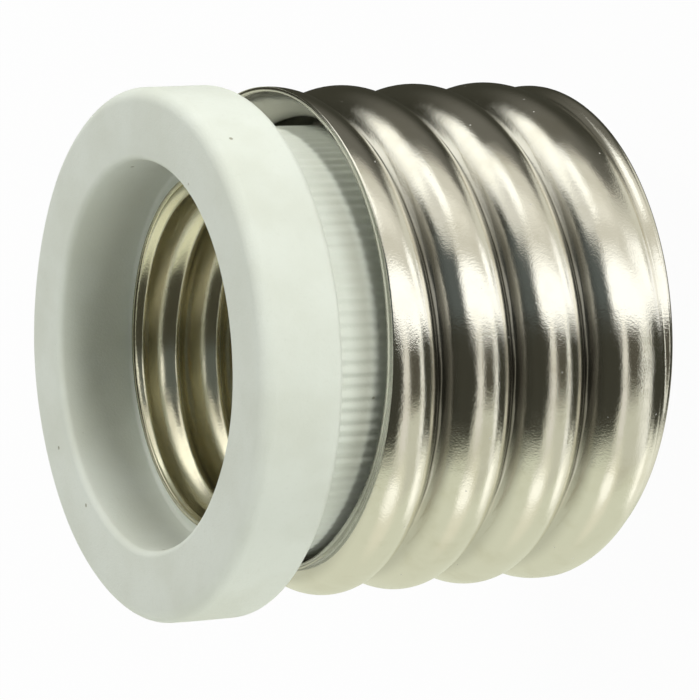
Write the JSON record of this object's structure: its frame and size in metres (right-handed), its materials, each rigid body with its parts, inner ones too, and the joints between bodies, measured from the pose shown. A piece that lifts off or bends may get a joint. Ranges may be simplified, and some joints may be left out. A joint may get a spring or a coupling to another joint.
{
  "type": "lamp socket adapter",
  "caption": "Porcelain adapter with a large threaded metal cap outside and a smaller threaded lamp socket in its ring-shaped mouth.",
  "frame": {"origin": "middle of the underside of the base contact, on which the adapter stands with its mouth up", "axes": "+Z along the axis of the porcelain body, out of the mouth; +X is the side to which the barrel and the metal cap sit 0.5 mm off the centre of the ring; -Y is the side that the picture shows nearest"},
  "size_m": [0.041, 0.041, 0.0426],
  "materials": {
    "porcelain": "satin white porcelain with a faint green tint",
    "cap_nickel": "bright nickel plate on drawn sheet, faint draw lines",
    "socket_nickel": "warm nickel plate on brass sheet",
    "contact_brass": "plated spring brass, satin",
    "rivet_metal": "plated, closed by pressing"
  },
  "bodies": {
    "adapter": {"porcelain_body": "porcelain", "outer_screw_shell": "cap_nickel", "inner_screw_shell": "socket_nickel", "base_insulator": "porcelain", "base_contact": "socket_nickel", "contact_rivet": "rivet_metal", "shell_rivets": "rivet_metal"},
    "tongue": {"contact_tongue": "contact_brass"}
  },
  "joints": [
    {"name": "tongue_flex", "type": "hinge", "parent": "adapter", "child": "tongue", "pos_m": [-0.004, 0, 0.01415], "axis": [0, 1, 0], "range_deg": [0, 9], "stiffness_Nm_per_rad": 0.3}
  ]
}
